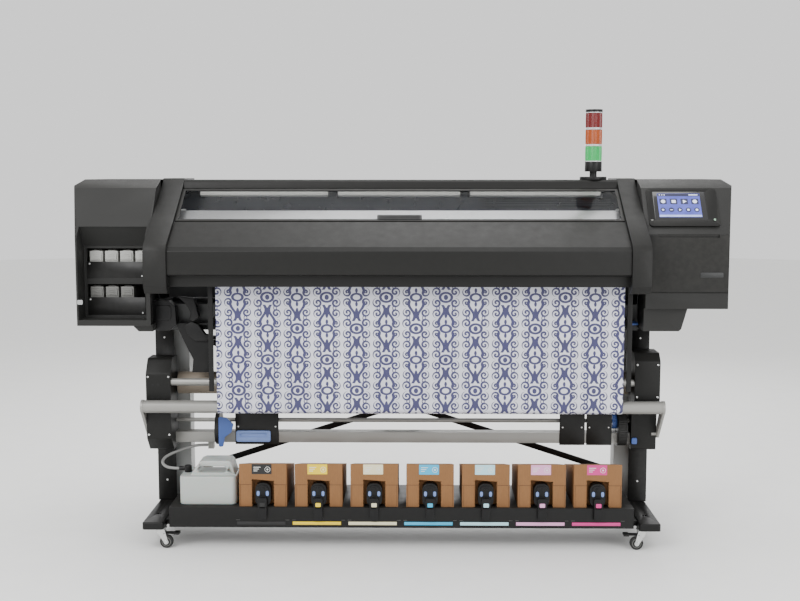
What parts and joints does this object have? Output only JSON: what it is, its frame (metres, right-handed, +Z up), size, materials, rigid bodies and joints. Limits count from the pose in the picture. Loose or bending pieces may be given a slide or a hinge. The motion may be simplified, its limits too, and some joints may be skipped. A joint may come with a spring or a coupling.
{
  "type": "wide-format roll printer",
  "caption": "Wide-format roll printer on a castered stand: sloping window, control panel, boxed ink shelf, signal tower and a printed web running to a take-up.",
  "frame": {"origin": "on the floor under the middle of the machine", "axes": "+X to the operator's right, -Y to the front, +Z up"},
  "size_m": [2.561, 0.84, 1.646],
  "materials": {
    "stand_paint": "satin black powder coat",
    "column_paint": "light grey powder coat",
    "charcoal_cover": "fine-textured charcoal moulding",
    "chassis_steel": "dark grey painted steel",
    "brushed_aluminium": "satin anodised, drawn along its length",
    "dark_panel": "satin blue-black",
    "carriage_shell": "fine-textured black",
    "zinc_steel": "zinc-plated",
    "wheel_rubber": "matte black tread",
    "black_plastic": "matte black moulding",
    "box_board": "brown corrugated board",
    "bottle_plastic": "translucent white blow-moulding",
    "hose_grey": "grey flexible hose",
    "ink_tank_plastic": "light grey moulding",
    "screen_glass": "black glass front with a lit display",
    "button_grey": "grey with a lit mark",
    "window_clear": "clear sheet, light tint",
    "lamp_lens": "coloured ribbed lenses",
    "printed_web": "satin printed film",
    "paper_roll": "satin white film",
    "touch_blue": "blue touch points"
  },
  "bodies": {
    "printer": {"feet": "stand_paint", "left_column": "column_paint", "right_column": "column_paint", "column_covers": "charcoal_cover", "cross_brace": "stand_paint", "supply_tray": "stand_paint", "waste_bottle": "bottle_plastic", "bottle_fitting": "black_plastic", "waste_hose": "hose_grey", "chassis": "chassis_steel", "platen": "brushed_aluminium", "back_panel": "dark_panel", "carriage_rails": "brushed_aluminium", "left_cover": "charcoal_cover", "cartridge_brackets": "stand_paint", "ink_tanks": "ink_tank_plastic", "right_cover": "charcoal_cover", "control_panel": "charcoal_cover", "touch_screen": "screen_glass", "arch_covers": "charcoal_cover", "top_cover": "charcoal_cover", "rear_cover": "charcoal_cover", "curing_cover": "charcoal_cover", "front_skirt": "charcoal_cover", "tower_base": "black_plastic", "tower_lenses": "lamp_lens", "media_web": "printed_web", "takeup_bars": "brushed_aluminium", "left_housing": "charcoal_cover", "drive_housing": "charcoal_cover", "takeup_hubs": "black_plastic", "web_guides": "stand_paint"},
    "front_left_caster": {"front_left_fork": "zinc_steel"},
    "front_left_wheel": {"front_left_wheel": "wheel_rubber"},
    "front_left_brake_pedal": {"front_left_brake_pedal": "black_plastic"},
    "front_right_caster": {"front_right_fork": "zinc_steel"},
    "front_right_wheel": {"front_right_wheel": "wheel_rubber"},
    "front_right_brake_pedal": {"front_right_brake_pedal": "black_plastic"},
    "rear_left_caster": {"rear_left_fork": "zinc_steel"},
    "rear_left_wheel": {"rear_left_wheel": "wheel_rubber"},
    "rear_right_caster": {"rear_right_fork": "zinc_steel"},
    "rear_right_wheel": {"rear_right_wheel": "wheel_rubber"},
    "supply_1": {"supply_box_1": "box_board"},
    "supply_2": {"supply_box_2": "box_board"},
    "supply_3": {"supply_box_3": "box_board"},
    "supply_4": {"supply_box_4": "box_board"},
    "supply_5": {"supply_box_5": "box_board"},
    "supply_6": {"supply_box_6": "box_board"},
    "supply_7": {"supply_box_7": "box_board"},
    "carriage": {"carriage": "carriage_shell"},
    "window": {"window_frame": "black_plastic", "window_pane": "window_clear"},
    "service_door": {"service_door": "charcoal_cover"},
    "power_button": {"power_button": "button_grey"},
    "input_roll": {"supply_roll": "paper_roll", "roll_spindle": "black_plastic"},
    "takeup_reel": {"takeup_reel": "brushed_aluminium"},
    "tension_bar": {"tension_bar": "brushed_aluminium"},
    "hub_lever": {"hub_lever": "touch_blue"}
  },
  "joints": [
    {"name": "front_left_swivel", "type": "hinge", "parent": "printer", "child": "front_left_caster", "pos_m": [-0.9, -0.355, 0.07], "axis": [0, 0, 1], "continuous": true},
    {"name": "front_left_wheel_spin", "type": "hinge", "parent": "front_left_caster", "child": "front_left_wheel", "pos_m": [-0.88, -0.355, 0.025], "axis": [0, 1, 0], "continuous": true},
    {"name": "front_left_brake", "type": "hinge", "parent": "front_left_caster", "child": "front_left_brake_pedal", "pos_m": [-0.887, -0.355, 0.0575], "axis": [0, 1, 0], "range_deg": [0, 9]},
    {"name": "front_right_swivel", "type": "hinge", "parent": "printer", "child": "front_right_caster", "pos_m": [0.9, -0.355, 0.07], "axis": [0, 0, 1], "continuous": true},
    {"name": "front_right_wheel_spin", "type": "hinge", "parent": "front_right_caster", "child": "front_right_wheel", "pos_m": [0.88, -0.355, 0.025], "axis": [0, 1, 0], "continuous": true},
    {"name": "front_right_brake", "type": "hinge", "parent": "front_right_caster", "child": "front_right_brake_pedal", "pos_m": [0.887, -0.355, 0.0575], "axis": [0, -1, 0], "range_deg": [0, 9]},
    {"name": "rear_left_swivel", "type": "hinge", "parent": "printer", "child": "rear_left_caster", "pos_m": [-0.9, 0.355, 0.07], "axis": [0, 0, 1], "continuous": true},
    {"name": "rear_left_wheel_spin", "type": "hinge", "parent": "rear_left_caster", "child": "rear_left_wheel", "pos_m": [-0.88, 0.355, 0.025], "axis": [0, 1, 0], "continuous": true},
    {"name": "rear_right_swivel", "type": "hinge", "parent": "printer", "child": "rear_right_caster", "pos_m": [0.9, 0.355, 0.07], "axis": [0, 0, 1], "continuous": true},
    {"name": "rear_right_wheel_spin", "type": "hinge", "parent": "rear_right_caster", "child": "rear_right_wheel", "pos_m": [0.88, 0.355, 0.025], "axis": [0, 1, 0], "continuous": true},
    {"name": "supply_1_draw", "type": "slide", "parent": "printer", "child": "supply_1", "axis": [0, -1, 0], "range_m": [0, 0.32]},
    {"name": "supply_2_draw", "type": "slide", "parent": "printer", "child": "supply_2", "axis": [0, -1, 0], "range_m": [0, 0.32]},
    {"name": "supply_3_draw", "type": "slide", "parent": "printer", "child": "supply_3", "axis": [0, -1, 0], "range_m": [0, 0.32]},
    {"name": "supply_4_draw", "type": "slide", "parent": "printer", "child": "supply_4", "axis": [0, -1, 0], "range_m": [0, 0.32]},
    {"name": "supply_5_draw", "type": "slide", "parent": "printer", "child": "supply_5", "axis": [0, -1, 0], "range_m": [0, 0.32]},
    {"name": "supply_6_draw", "type": "slide", "parent": "printer", "child": "supply_6", "axis": [0, -1, 0], "range_m": [0, 0.32]},
    {"name": "supply_7_draw", "type": "slide", "parent": "printer", "child": "supply_7", "axis": [0, -1, 0], "range_m": [0, 0.32]},
    {"name": "carriage_travel", "type": "slide", "parent": "printer", "child": "carriage", "axis": [1, 0, 0], "range_m": [-1.85, 0.06]},
    {"name": "window_hinge", "type": "hinge", "parent": "printer", "child": "window", "pos_m": [-0.0075, -0.0708, 1.3395], "axis": [-1, 0, 0], "range_deg": [0, 65]},
    {"name": "service_door_hinge", "type": "hinge", "parent": "printer", "child": "service_door", "pos_m": [1.208, -0.306, 1.067], "axis": [0, 0, 1], "range_deg": [0, 100]},
    {"name": "power_press", "type": "slide", "parent": "printer", "child": "power_button", "axis": [0, 0.8026, -0.5965], "range_m": [0, 0.0015], "stiffness_N_per_m": 400, "springref_m": -0.002},
    {"name": "input_roll_spin", "type": "hinge", "parent": "printer", "child": "input_roll", "pos_m": [0, 0.3, 0.7], "axis": [1, 0, 0], "continuous": true},
    {"name": "takeup_spin", "type": "hinge", "parent": "printer", "child": "takeup_reel", "pos_m": [0, -0.105, 0.585], "axis": [1, 0, 0], "continuous": true},
    {"name": "tension_bar_swing", "type": "hinge", "parent": "printer", "child": "tension_bar", "pos_m": [0, -0.17, 0.4], "axis": [1, 0, 0], "range_deg": [0, 50], "deforming": ["media_web"]},
    {"name": "hub_lever_turn", "type": "hinge", "parent": "printer", "child": "hub_lever", "pos_m": [-0.695, -0.19, 0.411], "axis": [0, 1, 0], "range_deg": [0, 40]}
  ]
}
